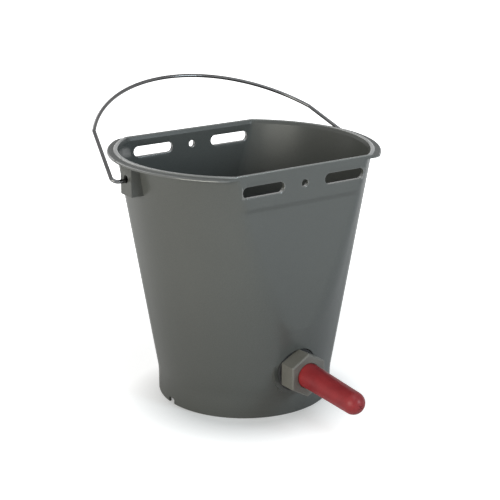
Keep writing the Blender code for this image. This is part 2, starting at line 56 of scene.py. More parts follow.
BAND_BOTTOM = 0.2336
CORNER_AT_RIM = 0.0080
CORNER_AT_POINT = 0.0750
CORNER_OPENING = 1.3
CREST_SET = 0.0002
LIP_DEPTH = 0.0045
TOUCH = 0.00001
NO_RADIUS = 1e-9
ROUND_STEPS = 96
BORE_STEPS = 48
FLANGE_RADIUS = 0.1437
FLANGE_UNDERSIDE = 0.2659
FLANGE_TOP = 0.2688
FLANGE_CORNER = 0.0030
WALL_SLOPE = (RIM_RADIUS - FOOT_RADIUS) / (BUCKET_TOP - FOOT_HEIGHT)
FLAT_FACE = FOOT_RADIUS + WALL_SLOPE * (FLAT_START - FOOT_HEIGHT)
BAND_FACE = FLAT_FACE + BAND_STEP
INNER_FACE = FLAT_FACE - WALL

# A flat face this far out cuts nothing from a ring, which stays round
ROUND = 1.0
# Spans of directions in a quarter turn, in degrees: start, end and step
DIRECTION_SPANS = ((0.0, 50.0, 2.0), (50.0, 66.0, 0.5), (66.0, 90.0, 1.0))

bucket_low, bucket_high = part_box("bucket")
BUCKET_Y = 0.5 * (bucket_low.y + bucket_high.y)


def wall_radius(z):
    """Outside radius of the tapered wall at height z."""
    return FOOT_RADIUS + WALL_SLOPE * (z - FOOT_HEIGHT)


def soft_corner(z):
    """Radius of the corner beside a flat: small at the rim, wide where the flat runs out."""
    share = min(max((BUCKET_TOP - z) / (BUCKET_TOP - FLAT_START), 0.0), 1.0)
    return CORNER_AT_RIM + (CORNER_AT_POINT - CORNER_AT_RIM) * share ** CORNER_OPENING


def ring_directions():
    """Directions of the points of one level, closest where the flats turn into the round wall."""
    quarter = [math.radians(start + step * i) for start, end, step in DIRECTION_SPANS
               for i in range(round((end - start) / step))]
    half = quarter + [math.pi / 2] + [math.pi - a for a in reversed(quarter[1:])]
    return half + [a + math.pi for a in half]


DIRECTIONS = ring_directions()


def wall_ring(radius, z, flat_face, corner):
    """One level of the wall: a circle cut flat front and back, with soft corners."""
    if radius < NO_RADIUS:
        return [(0.0, BUCKET_Y, z)]
    points = []
    centre_y = flat_face - corner
    centre_x = math.sqrt(max((radius - corner) ** 2 - centre_y ** 2, 0.0))
    for a in DIRECTIONS:
        up = abs(math.sin(a))
        side = abs(math.cos(a))
        if radius > flat_face and side * flat_face <= up * centre_x:
            y = math.copysign(flat_face, math.sin(a))
            points.append((flat_face * math.cos(a) / up, BUCKET_Y + y, z))
            continue
        reach = radius
        if radius > flat_face and up * centre_x > side * centre_y:
            along = centre_x * side + centre_y * up
            spare = along ** 2 - centre_x ** 2 - centre_y ** 2 + corner ** 2
            reach = along + math.sqrt(max(spare, 0.0))
        points.append((reach * math.cos(a), BUCKET_Y + reach * math.sin(a), z))
    return points


def eased(profile, steps=6):
    """Round each corner of a profile over the run given as the last number of its point."""
    out = [profile[0][:-1]]
    for before, here, after in zip(profile, profile[1:], profile[2:]):
        run = here[-1]
        if run <= 0.0:
            out.append(here[:-1])
            continue
        to_before = math.dist(before[:2], here[:2])
        to_after = math.dist(here[:2], after[:2])
        k0 = min(run / to_before, 0.5)
        k1 = min(run / to_after, 0.5)
        start = [h + (b - h) * k0 for h, b in zip(here[:-1], before[:-1])]
        end = [h + (a - h) * k1 for h, a in zip(here[:-1], after[:-1])]
        for i in range(steps + 1):
            t = i / steps
            out.append(tuple(s * (1 - t) ** 2 + 2 * t * (1 - t) * h + e * t * t
                             for s, h, e in zip(start, here[:-1], end)))
    out.append(profile[-1][:-1])
    return out


def skin(levels, closed=False):
    """Mesh stretched over neighbouring levels; a level of one point closes an end."""
    bm = bmesh.new()
    rings = [[bm.verts.new(p) for p in points] for points in levels]
    count = max(len(ring) for ring in rings)
    pairs = list(zip(rings, rings[1:]))
    if closed:
        pairs.append((rings[-1], rings[0]))
    for lower, upper in pairs:
        for i in range(count):
            j = (i + 1) % count
            corners = [lower[i % len(lower)], lower[j % len(lower)]]
            corners += [upper[j % len(upper)], upper[i % len(upper)]]
            unique = list(dict.fromkeys(corners))
            if len(unique) > 2:
                bm.faces.new(unique)
    bmesh.ops.recalc_face_normals(bm, faces=bm.faces)
    return bm


def piece_from(bm, name):
    """Object made of a finished bmesh, in the room's own coordinates."""
    mesh = bpy.data.meshes.new(name)
    bm.to_mesh(mesh)
    bm.free()
    piece = bpy.data.objects.new(name, mesh)
    bpy.context.scene.collection.objects.link(piece)
    return piece


def settle(piece):
    """Apply what the piece's modifiers do, so that only its mesh is left."""
    bpy.context.view_layer.update()
    graph = bpy.context.evaluated_depsgraph_get()
    mesh = bpy.data.meshes.new_from_object(piece.evaluated_get(graph))
    piece.modifiers.clear()
    piece.data = mesh


def shape(piece, tool, operation):
    """Join a tool body to a piece, cut it out, or keep what both share."""
    step = piece.modifiers.new("step", 'BOOLEAN')
    step.solver = 'MANIFOLD'
    step.operation = operation
    step.object = tool
    settle(piece)
    bpy.data.objects.remove(tool, do_unlink=True)


def dress(piece, finish, angle=38.0):
    """Smooth shading that keeps true edges crisp, flat faces flat, and one finish."""
    piece.data.materials.clear()
    piece.data.materials.append(finish)
    piece.data.shade_smooth()
    piece.data.set_sharp_from_angle(angle=math.radians(angle))
    even = piece.modifiers.new("even", 'WEIGHTED_NORMAL')
    even.keep_sharp = True
    settle(piece)


def turned(profile, axis_z):
    """Body turned about an axis along Y at a given height, from (radius, y) points."""
    levels = []
    for radius, y in profile:
        if radius < NO_RADIUS:
            levels.append([(0.0, y, axis_z)])
            continue
        angles = [2.0 * math.pi * i / ROUND_STEPS for i in range(ROUND_STEPS)]
        levels.append([(radius * math.sin(a), y, axis_z + radius * math.cos(a)) for a in angles])
    return skin(levels, len(levels[0]) > 1)


def easing(depth_a, depth_b, run, steps=5):
    """(place, growth) pairs of a cutter that rounds the rims of a hole between two faces."""
    pairs = []
    for i in range(steps + 1):
        d = run * i / steps
        pairs.append((depth_a + d, run - math.sqrt(max(run ** 2 - (run - d) ** 2, 0.0))))
    for i in range(steps, -1, -1):
        d = run * i / steps
        pairs.append((depth_b - d, run - math.sqrt(max(run ** 2 - (run - d) ** 2, 0.0))))
    return pairs


# Section of the wall from the middle of the underside, up the outside, over the rim and
# down the inside: radius, height, flat face, corner, run of the rounding
UNDERSIDE_EASE = 0.0020
FOOT_INNER_EASE = 0.0006
FOOT_OUTER_EASE = 0.0018
FOOT_TOP_EASE = 0.0060
FLOOR_EASE = 0.0080
BAND_RUN_IN = 0.0030
BAND_RISE = 0.0010
BAND_EASE = 0.0016
BAND_LEVELS = (0.2400, 0.2460, 0.2520, 0.2580)
LIP_RUN_OUT = 0.0020
CONE_LEVELS = (0.35, 0.7, 0.9)
FLAT_LEVELS = 40
LEVEL_CROWDING = 1.3


def cone_level(share):
    """Height at a share of the way from the foot to where the flats run out."""
    return FOOT_HEIGHT + (FLAT_START - FOOT_HEIGHT) * share


def flat_level(i, end):
    """Height of level i between where the flats run out and their end, closest low down."""
    return FLAT_START + (end - FLAT_START) * (i / FLAT_LEVELS) ** LEVEL_CROWDING


section = [
    (0.0, FOOT_HEIGHT - FLOOR_THICKNESS, ROUND, 0.0, 0.0),
    (FOOT_RADIUS - WALL, FOOT_HEIGHT - FLOOR_THICKNESS, ROUND, 0.0, UNDERSIDE_EASE),
    (FOOT_RADIUS - WALL, 0.0, ROUND, 0.0, FOOT_INNER_EASE),
    (FOOT_RADIUS, 0.0, ROUND, 0.0, FOOT_OUTER_EASE),
    (FOOT_RADIUS, FOOT_HEIGHT, ROUND, 0.0, FOOT_TOP_EASE),
]
for share in CONE_LEVELS:
    z = cone_level(share)
    section.append((wall_radius(z), z, ROUND, 0.0, 0.0))
for i in range(FLAT_LEVELS + 1):
    z = flat_level(i, BAND_BOTTOM - BAND_RUN_IN)
    section.append((wall_radius(z), z, FLAT_FACE, soft_corner(z), 0.0))
section[-1] = section[-1][:-1] + (BAND_EASE,)
z = BAND_BOTTOM + BAND_RISE
section.append((wall_radius(z), z, BAND_FACE, soft_corner(z), BAND_EASE))
for z in BAND_LEVELS:
    section.append((wall_radius(z), z, BAND_FACE, soft_corner(z), 0.0))

# Rim: flange outwards, its rounded edge, back to the crest, over it and down to the lip
top = BUCKET_TOP
crest = RIM_RADIUS - CREST_SET
lip = BUCKET_TOP - LIP_DEPTH
section += [
    (wall_radius(FLANGE_UNDERSIDE), FLANGE_UNDERSIDE, BAND_FACE, soft_corner(top), 0.0012),
    (FLANGE_RADIUS, FLANGE_UNDERSIDE, BAND_FACE, FLANGE_CORNER, 0.0008),
    (FLANGE_RADIUS, FLANGE_TOP - 0.0009, BAND_FACE, FLANGE_CORNER, 0.0013),
    (FLANGE_RADIUS - 0.0030, FLANGE_TOP - 0.0002, BAND_FACE, FLANGE_CORNER, 0.0010),
    (crest + 0.0026, FLANGE_TOP - 0.0001, BAND_FACE, 0.4 * soft_corner(top), 0.0009),
    (crest + 0.0014, top, BAND_FACE - 0.0002, 0.8 * soft_corner(top), 0.0014),
    (crest - 0.0016, top, INNER_FACE + 0.0016, soft_corner(top) - WALL, 0.0014),
    (wall_radius(lip) - WALL, lip, INNER_FACE, soft_corner(lip) - WALL, 0.0004),
]
for i in reversed(range(FLAT_LEVELS + 1)):
    z = flat_level(i, lip - LIP_RUN_OUT)
    section.append((wall_radius(z) - WALL, z, INNER_FACE, soft_corner(z) - WALL, 0.0))
for share in reversed(CONE_LEVELS):
    z = cone_level(share)
    section.append((wall_radius(z) - WALL, z, ROUND, 0.0, 0.0))
section.append((wall_radius(FOOT_HEIGHT) - WALL, FOOT_HEIGHT, ROUND, 0.0, FLOOR_EASE))
section.append((0.0, FOOT_HEIGHT, ROUND, 0.0, 0.0))
bucket = piece_from(skin([wall_ring(*station) for station in eased(section)]), "bucket_moulding")

# Body that ends in the middle of the wall, to which ears and valve seat are trimmed
CORE_BOTTOM = 0.012
CORE_TOP = BUCKET_TOP + 0.010
foot_core = FOOT_RADIUS - 0.5 * WALL
rim_core = wall_radius(CORE_TOP) - 0.5 * WALL
core_rings = [wall_ring(r, z, ROUND, 0.0) for r, z in
              ((0.0, CORE_BOTTOM), (foot_core, CORE_BOTTOM), (foot_core, FOOT_HEIGHT),
               (rim_core, CORE_TOP), (0.0, CORE_TOP))]

# Ears under the flange, each a plate on two ribs with a bore for the bail
EAR_FACE = 0.1426
EAR_WIDTH = 0.0215
EAR_WALL = 0.0026
EAR_BOTTOM = 0.2370
EAR_TOP = 0.2664
EAR_ROOT = 0.1270
EAR_EASE = 0.0006
BAIL_HOLE = 0.0040
BAIL_HOLE_Z = 0.2542
BAIL_HOLE_EASE = 0.0005
BORE_PAST_INSIDE = 0.0020
BORE_PAST_OUTSIDE = 0.0030
half_ear = 0.5 * EAR_WIDTH
for side in (-1.0, 1.0):
    outline = [(EAR_ROOT, -half_ear), (EAR_FACE, -half_ear), (EAR_FACE, half_ear)]
    outline += [(EAR_ROOT, half_ear), (EAR_ROOT, half_ear - EAR_WALL)]
    outline += [(EAR_FACE - EAR_WALL, half_ear - EAR_WALL)]
    outline += [(EAR_FACE - EAR_WALL, EAR_WALL - half_ear), (EAR_ROOT, EAR_WALL - half_ear)]
    bm = bmesh.new()
    low = [bm.verts.new((side * x, BUCKET_Y + y, EAR_BOTTOM)) for x, y in outline]
    face = bm.faces.new(low)
    grown = bmesh.ops.extrude_face_region(bm, geom=[face])
    raised = [v for v in grown["geom"] if isinstance(v, bmesh.types.BMVert)]
    bmesh.ops.translate(bm, verts=raised, vec=(0.0, 0.0, EAR_TOP - EAR_BOTTOM))
    bmesh.ops.recalc_face_normals(bm, faces=bm.faces)
    edges = [e for e in bm.edges if max(v.co.z for v in e.verts) < EAR_TOP - TOUCH
             or all(abs(v.co.x) > EAR_FACE - TOUCH for v in e.verts)]
    edges = [e for e in edges if min(abs(v.co.x) for v in e.verts) > EAR_ROOT + TOUCH
             or abs(e.verts[0].co.x - e.verts[1].co.x) > 10.0 * TOUCH]
    bmesh.ops.bevel(bm, geom=edges, offset=EAR_EASE, segments=3, affect='EDGES', profile=0.5,
                    clamp_overlap=True)
    ear = piece_from(bm, "ear")
    shape(ear, piece_from(skin(core_rings), "core"), 'DIFFERENCE')
    shape(bucket, ear, 'UNION')
    bore = [(x, BAIL_HOLE + growth)
            for x, growth in easing(EAR_FACE - EAR_WALL, EAR_FACE, BAIL_HOLE_EASE)]
    bore.insert(0, (EAR_FACE - EAR_WALL - BORE_PAST_INSIDE, bore[0][1]))
    bore.append((EAR_FACE + BORE_PAST_OUTSIDE, bore[-1][1]))
    levels = [[(side * bore[0][0], BUCKET_Y, BAIL_HOLE_Z)]]
    for x, r in bore:
        turn = [2.0 * math.pi * i / BORE_STEPS for i in range(BORE_STEPS)]
        levels.append([(side * x, BUCKET_Y + r * math.cos(a), BAIL_HOLE_Z + r * math.sin(a))
                       for a in turn])
    levels.append([(side * bore[-1][0], BUCKET_Y, BAIL_HOLE_Z)])
    shape(bucket, piece_from(skin(levels), "bail_hole"), 'DIFFERENCE')

# Two drain notches in the foot
NOTCH_WIDTH = 0.0104
NOTCH_HEIGHT = 0.0062
NOTCH_EASE = 0.0010
bm = bmesh.new()
bmesh.ops.create_cube(bm, size=1.0)
for v in bm.verts:
    v.co = (v.co.x * 3.0 * FOOT_RADIUS, BUCKET_Y + v.co.y * NOTCH_WIDTH, v.co.z * 2.0 * NOTCH_HEIGHT)
edges = [e for e in bm.edges if all(v.co.z > 0.0 for v in e.verts)
         and abs(e.verts[0].co.x - e.verts[1].co.x) > FOOT_RADIUS]
bmesh.ops.bevel(bm, geom=edges, offset=NOTCH_EASE, segments=4, affect='EDGES')
shape(bucket, piece_from(bm, "notches"), 'DIFFERENCE')

# Fence slots and the screw hole between them, through both flats, with eased rims
SLOT_CENTRES = (-0.0496, 0.0496)
SLOT_LENGTH = 0.0492
SLOT_HEIGHT = 0.0112
SLOT_Z = 0.2524
SCREW_HOLE = 0.0038
RIM_EASE = 0.0007
SLOT_STEPS = 40


def through_both_flats(centre_x, half_straight, radius):
    """Cutter with a long or round outline that leaves rounded rims on both faces of each flat."""
    stations = [(-FLANGE_RADIUS, RIM_EASE)]
    stations += easing(-BAND_FACE, -INNER_FACE, RIM_EASE)
    stations += easing(INNER_FACE, BAND_FACE, RIM_EASE)
    stations.append((FLANGE_RADIUS, RIM_EASE))
    levels = []
    for y, growth in stations:
        points = []
        for i in range(SLOT_STEPS):
            a = 2.0 * math.pi * (i + 0.5) / SLOT_STEPS
            x = centre_x + math.copysign(half_straight, math.cos(a))
            x += (radius + growth) * math.cos(a)
            points.append((x, BUCKET_Y + y, SLOT_Z + (radius + growth) * math.sin(a)))
        levels.append(points)
    levels.insert(0, [(centre_x, levels[0][0][1], SLOT_Z)])
    levels.append([(centre_x, levels[-1][0][1], SLOT_Z)])
    return piece_from(skin(levels), "through")


for centre_x in SLOT_CENTRES:
    half_straight = 0.5 * (SLOT_LENGTH - SLOT_HEIGHT)
    shape(bucket, through_both_flats(centre_x, half_straight, 0.5 * SLOT_HEIGHT), 'DIFFERENCE')
shape(bucket, through_both_flats(0.0, 0.0, SCREW_HOLE), 'DIFFERENCE')

# Valve seat: an upright round pad let a little into the sloping wall, with a skirt behind
# that joins it to the wall all round
VALVE_Z = 0.0500
SEAT_SET = 0.00203
SEAT_DEPTH = 0.0055
SEAT_STEP = 0.0010
SEAT_RADIUS = 0.0280
RECESS_RADIUS = 0.0241
SKIRT_RADIUS = 0.0292
SKIRT_REACH = 0.0280
RECESS_REACH = 0.0380
VALVE_HOLE = 0.0152
HOLE_REACH = 0.0160
seat_y = BUCKET_Y - (wall_radius(VALVE_Z) - SEAT_SET)


def valve_disc(radius, inner, outer, name, bore=0.0):
    """Round body or ring on the valve's axis between two places along it."""
    outline = [(bore, inner), (radius, inner), (radius, outer), (bore, outer)]
    return piece_from(turned(outline, VALVE_Z), name)


skirt = valve_disc(SKIRT_RADIUS, seat_y + SEAT_DEPTH - SEAT_STEP, seat_y - SKIRT_REACH, "skirt")
shape(skirt, piece_from(skin(core_rings), "core"), 'INTERSECT')
shape(bucket, skirt, 'UNION')
recess = valve_disc(RECESS_RADIUS, seat_y + 0.5 * SEAT_DEPTH, seat_y - RECESS_REACH, "recess")
shape(bucket, recess, 'DIFFERENCE')
hole = valve_disc(VALVE_HOLE + SEAT_STEP, seat_y + HOLE_REACH, seat_y - HOLE_REACH, "valve_hole")
shape(bucket, hole, 'DIFFERENCE')
shape(bucket, valve_disc(SEAT_RADIUS, seat_y + SEAT_DEPTH, seat_y, "pad", VALVE_HOLE), 'UNION')


def finish_nodes(name, metallic=0.0):
    """New finish with its node tree, its shader and the coordinates of the piece."""
    finish = bpy.data.materials.new(name)
    finish.use_nodes = True
    tree = finish.node_tree
    shader = tree.nodes["Principled BSDF"]
    shader.inputs["Metallic"].default_value = metallic
    place = tree.nodes.new("ShaderNodeTexCoord").outputs["Object"]
    return finish, tree, shader, place


def grain(tree, place, scale, detail=3.0, stretch=(1.0, 1.0, 1.0), rough=0.5):
    """Cloudy pattern of a given fineness, drawn out along an axis where the finish is."""
    mapping = tree.nodes.new("ShaderNodeMapping")
    mapping.inputs["Scale"].default_value = stretch
    tree.links.new(place, mapping.inputs["Vector"])
    noise = tree.nodes.new("ShaderNodeTexNoise")
    noise.inputs["Scale"].default_value = scale
    noise.inputs["Detail"].default_value = detail
    noise.inputs["Roughness"].default_value = rough
    tree.links.new(mapping.outputs["Vector"], noise.inputs["Vector"])
    return noise.outputs["Fac"]


def between(tree, pattern, low, high, start=0.3, end=0.7):
    """Value that runs from low to high with a pattern."""
    node = tree.nodes.new("ShaderNodeMapRange")
    node.inputs["From Min"].default_value = start
    node.inputs["From Max"].default_value = end
    node.inputs["To Min"].default_value = low
    node.inputs["To Max"].default_value = high
    tree.links.new(pattern, node.inputs["Value"])
    return node.outputs["Result"]


def tint(tree, pattern, first, second, start=0.3, end=0.7):
    """Colour that runs from first to second with a pattern."""
    ramp = tree.nodes.new("ShaderNodeValToRGB")
    ramp.color_ramp.elements[0].position = start
    ramp.color_ramp.elements[0].color = (*first, 1.0)
    ramp.color_ramp.elements[1].position = end
    ramp.color_ramp.elements[1].color = (*second, 1.0)
    tree.links.new(pattern, ramp.inputs["Fac"])
    return ramp.outputs["Color"]


def blend_colours(tree, first, second, share, mode='MIX'):
    """Two colours laid over one another."""
    node = tree.nodes.new("ShaderNodeMix")
    node.data_type = 'RGBA'
    node.blend_type = mode
    if isinstance(share, float):
        node.inputs["Factor"].default_value = share
    else:
        tree.links.new(share, node.inputs["Factor"])
    tree.links.new(first, node.inputs["A"])
    tree.links.new(second, node.inputs["B"])
    return node.outputs["Result"]


def relief(tree, shader, layers):
    """Stack height patterns, each with its depth in metres, into the shader's normal."""
    normal = None
    for pattern, depth, strength in layers:
        bump = tree.nodes.new("ShaderNodeBump")
        bump.inputs["Distance"].default_value = depth
        bump.inputs["Strength"].default_value = strength
        tree.links.new(pattern, bump.inputs["Height"])
        if normal is not None:
            tree.links.new(normal, bump.inputs["Normal"])
        normal = bump.outputs["Normal"]
    tree.links.new(normal, shader.inputs["Normal"])


# Turn away from the viewer, from 0 to 1, between which the specular level falls
GLOSS_START = 0.25
GLOSS_END = 0.80


def gloss(tree, shader, facing, grazing):
    """Specular level that falls from a surface seen straight on to one seen edge on."""
    seen = tree.nodes.new("ShaderNodeLayerWeight")
    seen.inputs["Blend"].default_value = 0.5
    shader.inputs["Specular IOR Level"].default_value = facing
    level = between(tree, seen.outputs["Facing"], facing, grazing, GLOSS_START, GLOSS_END)
    tree.links.new(level, shader.inputs["Specular IOR Level"])


# Greys of the melt, with painted shade that makes the colour a little darker towards the foot
CLOUD_DARK = (0.1180, 0.1215, 0.1150)
CLOUD_LIGHT = (0.1290, 0.1325, 0.1260)
FLOW_DARK = (0.1170, 0.1210, 0.1165)
FLOW_LIGHT = (0.1290, 0.1325, 0.1270)
PAINTED_FOOT_SHADE = 0.80
PAINTED_SHADE_TOP = 0.16


def grey(level):
    """Colour with the same level in all three channels."""
    return (level, level, level)


def lighter(colour, lift):
    """Colour made lighter or darker by one share in all three channels."""
    return tuple(channel * lift for channel in colour)


def grey_polypropylene(name, rough_low, rough_high, facing, grazing, lift=1.0):
    """Moulded grey plastic: cloudy melt, fine speckle, shallow sink and a matt grain, with painted
    shade towards the foot; a lift above one paints it lighter as a painted highlight.
    """
    finish, tree, shader, place = finish_nodes(name)
    cloud = grain(tree, place, 9.0, 4.0)
    flow = grain(tree, place, 14.0, 1.0, (1.0, 1.0, 0.35))
    speck = grain(tree, place, 1500.0, 2.0)
    ground = tint(tree, cloud, lighter(CLOUD_DARK, lift), lighter(CLOUD_LIGHT, lift))
    drawn = tint(tree, flow, lighter(FLOW_DARK, lift), lighter(FLOW_LIGHT, lift))
    ground = blend_colours(tree, ground, drawn, 0.35)
    speckle = tint(tree, speck, grey(0.90), grey(1.08))
    ground = blend_colours(tree, ground, speckle, 1.0, 'MULTIPLY')
    height = tree.nodes.new("ShaderNodeSeparateXYZ")
    tree.links.new(place, height.inputs["Vector"])
    # Painted shade: the colour is multiplied darker towards the foot
    painted_shade_by_height = tint(tree, height.outputs["Z"], grey(PAINTED_FOOT_SHADE), grey(1.0), 0.0, PAINTED_SHADE_TOP)
    ground = blend_colours(tree, ground, painted_shade_by_height, 1.0, 'MULTIPLY')
    tree.links.new(ground, shader.inputs["Base Color"])
    tree.links.new(between(tree, flow, rough_low, rough_high), shader.inputs["Roughness"])
    gloss(tree, shader, facing, grazing)
    relief(tree, shader, [(grain(tree, place, 22.0, 2.0), 0.0010, 0.20),
                          (grain(tree, place, 1100.0, 3.0), 0.00005, 0.35)])
    return finish


# The mould's grain leaves the edges of slots and flange smooth, and the crest is painted lighter as
# a painted highlight.
# The margins bound the faces that take each finish: round the slots and within the thickness
# of their flat, in from the flange's edge, and above the flange.
POLISHED = 1
CREST_PAINTED_HIGHLIGHT = 2
SLOT_MARGIN_UP = 0.0014
SLOT_MARGIN_ALONG = 0.0010
FACE_MARGIN = 0.0001
FLAT_FACE_TURN = 0.985
FLANGE_MARGIN_IN = 0.0016
FLANGE_MARGIN_UP = 0.0008
CREST_MARGIN_UP = 0.0002
dress(bucket, grey_polypropylene("dark_grey_polypropylene", 0.28, 0.33, 0.28, 0.02))
bucket.data.materials.append(grey_polypropylene("dark_grey_polished_edge", 0.10, 0.15, 0.9, 0.6))
# The crest's finish is 1.7 times lighter than the rest of the bucket: a painted highlight
bucket.data.materials.append(grey_polypropylene("dark_grey_crest_painted_highlight", 0.10, 0.15, 1.0, 0.7, 1.7))
slots_high = 0.5 * SLOT_HEIGHT + SLOT_MARGIN_UP
slots_wide = SLOT_CENTRES[1] + 0.5 * SLOT_LENGTH + SLOT_MARGIN_ALONG
for face in bucket.data.polygons:
    spot = face.center
    out = math.hypot(spot.x, spot.y - BUCKET_Y)
    across = abs(spot.y - BUCKET_Y)
    slot_edge = (abs(spot.z - SLOT_Z) < slots_high and abs(spot.x) < slots_wide
                 and INNER_FACE - FACE_MARGIN < across < BAND_FACE + FACE_MARGIN
                 and abs(face.normal.y) < FLAT_FACE_TURN)
    flange_edge = (out > FLANGE_RADIUS - FLANGE_MARGIN_IN
                   and spot.z > FLANGE_UNDERSIDE + FLANGE_MARGIN_UP)
    if spot.z > FLANGE_TOP + CREST_MARGIN_UP:
        face.material_index = CREST_PAINTED_HIGHLIGHT
    elif slot_edge or flange_edge:
        face.material_index = POLISHED
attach(bucket, "bucket_body")
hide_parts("bucket")

# Gaskets: two flat washers of black rubber, one pressed against each face of the
# valve seat by the nut outside and the collar inside.
GASKET_BORE = 0.0156
GASKET_EDGE = 0.0010
RUBBER_BLACK = (0.016, 0.016, 0.017)
RUBBER_DUSTY = (0.028, 0.028, 0.029)
black_rubber, tree, shader, place = finish_nodes("black_rubber")
dust = grain(tree, place, 160.0, 4.0)
tree.links.new(tint(tree, dust, RUBBER_BLACK, RUBBER_DUSTY), shader.inputs["Base Color"])
tree.links.new(between(tree, dust, 0.62, 0.80), shader.inputs["Roughness"])
relief(tree, shader, [(grain(tree, place, 1400.0, 3.0), 0.00006, 0.5)])
for node, slot_name in (("outer_gasket", "gasket_rubber"), ("inner_gasket", "inner_gasket_rubber")):
    low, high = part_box(node)
    outside = 0.5 * (high.x - low.x) - GASKET_EDGE
    corners = [(GASKET_BORE, high.y), (GASKET_BORE, low.y), (outside, low.y), (outside, high.y)]
    start = (0.5 * (GASKET_BORE + outside), high.y, 0.0)
    ring = [start] + [(r, y, GASKET_EDGE) for r, y in corners] + [start]
    gasket = piece_from(turned(eased(ring, steps=4)[:-1], VALVE_Z), node + "_ring")
    dress(gasket, black_rubber)
    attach(gasket, "bucket_body")
    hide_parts(node)

# Valve body: grey nylon fitting put in from inside the bucket, with a hexagon to
# hold it by, a collar on the inner gasket and a threaded spigot through the wall.
# The ball retainer, a perforated disc in its outer end, is of the same nylon.
NYLON_DARK = (0.128, 0.125, 0.113)
NYLON_LIGHT = (0.146, 0.142, 0.129)
valve_nylon, tree, shader, place = finish_nodes("valve_nylon")
haze = grain(tree, place, 90.0, 3.0)
tree.links.new(tint(tree, haze, NYLON_DARK, NYLON_LIGHT), shader.inputs["Base Color"])
tree.links.new(between(tree, haze, 0.42, 0.52), shader.inputs["Roughness"])
relief(tree, shader, [(grain(tree, place, 1300.0, 3.0), 0.00005, 0.4)])
for node in ("valve_body", "ball_retainer"):
    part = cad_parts[node]
    part.data.materials.clear()
    part.data.materials.append(valve_nylon)

# Ball: loose ivory plastic ball that closes the inlet when the calf stops drawing.
IVORY_DARK = (0.70, 0.68, 0.62)
IVORY_LIGHT = (0.78, 0.77, 0.72)
ivory, tree, shader, place = finish_nodes("ivory_plastic")
haze = grain(tree, place, 240.0, 3.0)
tree.links.new(tint(tree, haze, IVORY_DARK, IVORY_LIGHT), shader.inputs["Base Color"])
tree.links.new(between(tree, haze, 0.30, 0.40), shader.inputs["Roughness"])
relief(tree, shader, [(grain(tree, place, 1600.0, 2.0), 0.00003, 0.3)])
low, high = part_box("valve_ball")
centre = 0.5 * (low + high)
ball_radius = 0.5 * (high.x - low.x)
bm = bmesh.new()
bmesh.ops.create_icosphere(bm, subdivisions=4, radius=ball_radius)
bmesh.ops.translate(bm, verts=bm.verts, vec=centre)
ball = piece_from(bm, "ivory_ball")
dress(ball, ivory)
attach(ball, "ball_body")
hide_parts("valve_ball")

# Teat: hollow tube of red rubber with a domed end and a cross slit, its flange
# clamped between the nut and the spigot, drooping a little under its own weight.
TEAT_BASE = 0.0130
TEAT_TIP = 0.0118
TEAT_WALL = 0.0032
TEAT_FLANGE = 0.0145
TEAT_FLANGE_BACK = 0.0024
TEAT_REACH = 0.0853
TEAT_DROOP = math.radians(3.2)
DROOP_RUN = 0.0140
TUBE_STEPS = 28
DOME_STEPS = 18
INNER_DOME_STEPS = 12
SLIT_LENGTH = 0.0070
SLIT_WIDTH = 0.0004
NUT_LIP = 0.0035
LIP_GAP = 0.0003
nut_low, nut_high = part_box("hex_nut")
NUT_FACE = nut_low.y


def on_teat(run, radius, a):
    """Point at a run in front of the nut's face, at a radius and angle round the drooping axis."""
    if run <= 0.0:
        drop, lean, out = 0.0, 0.0, run
    elif run < DROOP_RUN:
        lean = TEAT_DROOP * run / DROOP_RUN
        drop = 0.5 * TEAT_DROOP * run * run / DROOP_RUN
        out = run
    else:
        lean = TEAT_DROOP
        drop = 0.5 * TEAT_DROOP * DROOP_RUN + math.sin(TEAT_DROOP) * (run - DROOP_RUN)
        out = DROOP_RUN + math.cos(TEAT_DROOP) * (run - DROOP_RUN)
    up = radius * math.sin(a) * math.cos(lean) - drop
    y = NUT_FACE - out - radius * math.sin(a) * math.sin(lean)
    return (radius * math.cos(a), y, VALVE_Z + up)


# Stations of the skin: run in front of the nut's face and radius, outside and then inside
flange_front = -(NUT_LIP + LIP_GAP)
flange_back = flange_front - TEAT_FLANGE_BACK
straight = TEAT_REACH - TEAT_TIP
stations = [(flange_back, TEAT_FLANGE), (flange_front, TEAT_FLANGE), (flange_front, TEAT_BASE)]
for i in range(TUBE_STEPS + 1):
    share = i / TUBE_STEPS
    stations.append((straight * share, TEAT_BASE + (TEAT_TIP - TEAT_BASE) * share))
for i in range(1, DOME_STEPS):
    a = math.radians(90.0 * i / DOME_STEPS)
    stations.append((straight + TEAT_TIP * math.sin(a), TEAT_TIP * math.cos(a)))
stations.append((TEAT_REACH, 0.0))
inner_tip = TEAT_TIP - TEAT_WALL
stations.append((straight + inner_tip, 0.0))
for i in reversed(range(INNER_DOME_STEPS)):
    a = math.radians(90.0 * i / INNER_DOME_STEPS)
    stations.append((straight + inner_tip * math.sin(a), inner_tip * math.cos(a)))
stations.append((0.0, TEAT_BASE - TEAT_WALL))
stations.append((flange_back, TEAT_BASE - TEAT_WALL))
levels = []
for run, radius in stations:
    turn = [2.0 * math.pi * i / ROUND_STEPS for i in range(ROUND_STEPS)]
    levels.append([on_teat(run, radius, a) for a in turn] if radius > 0.0
                  else [on_teat(run, 0.0, 0.0)])
teat = piece_from(skin(levels, True), "rubber_teat")
for turn in (45.0, 135.0):
    bm = bmesh.new()
    bmesh.ops.create_cube(bm, size=1.0)
    stand = Matrix.Translation(on_teat(TEAT_REACH - 0.5 * TEAT_WALL, 0.0, 0.0))
    stand = stand @ Matrix.Rotation(math.radians(90.0) + TEAT_DROOP, 4, 'X')
    stand = stand @ Matrix.Rotation(math.radians(turn), 4, 'Z')
    stand = stand @ Matrix.Diagonal((SLIT_LENGTH, SLIT_WIDTH, 2.0 * TEAT_WALL, 1.0))
    bmesh.ops.transform(bm, verts=bm.verts, matrix=stand)
    shape(teat, piece_from(bm, "slit"), 'DIFFERENCE')

